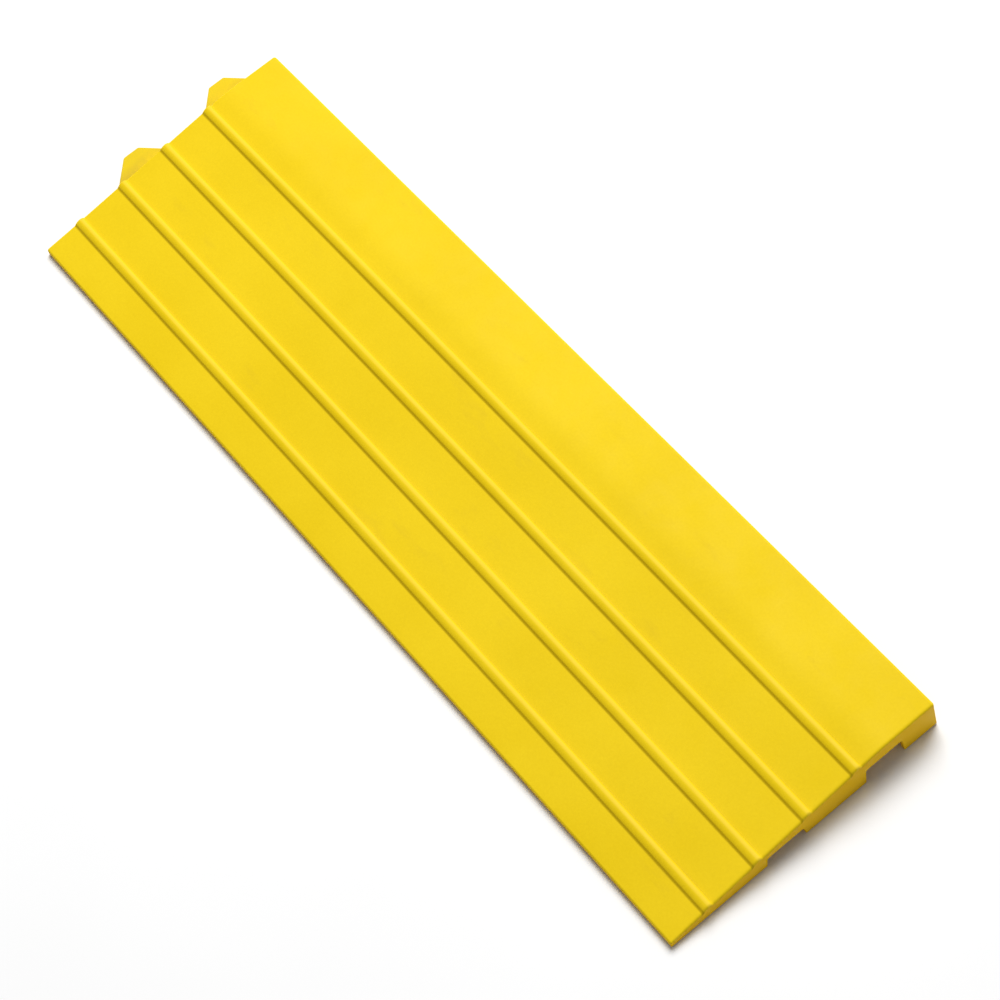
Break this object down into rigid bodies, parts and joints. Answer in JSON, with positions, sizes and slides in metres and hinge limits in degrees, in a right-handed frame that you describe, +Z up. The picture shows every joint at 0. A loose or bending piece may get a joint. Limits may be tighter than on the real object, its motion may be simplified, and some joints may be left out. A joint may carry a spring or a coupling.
{
  "type": "cable protector ramp",
  "caption": "Low one-sided ramp with lengthwise treads, an upright back, cable lanes underneath and arrow-headed joining keys at one end.",
  "frame": {"origin": "centre of the overall box in X and Y, at the level of the strips' undersides", "axes": "+X along the ramp from the keyed end to the open end, +Y up the ramp from the thin toe to the upright back, +Z up"},
  "size_m": [0.943, 0.28, 0.038],
  "materials": {
    "moulded_yellow": "moulded polyurethane, satin, fine mould grain",
    "strip_rubber": "matt black rubber"
  },
  "bodies": {
    "ramp": {"ramp_body": "moulded_yellow", "front_grip_strip": "strip_rubber", "middle_grip_strip": "strip_rubber", "rear_grip_strip": "strip_rubber"},
    "front_key": {"front_joining_key": "moulded_yellow"},
    "rear_key": {"rear_joining_key": "moulded_yellow"}
  },
  "joints": [
    {"name": "front_key_slide", "type": "slide", "parent": "ramp", "child": "front_key", "axis": [-1, 0, 0], "range_m": [0, 0.034]},
    {"name": "rear_key_slide", "type": "slide", "parent": "ramp", "child": "rear_key", "axis": [-1, 0, 0], "range_m": [0, 0.034]}
  ]
}
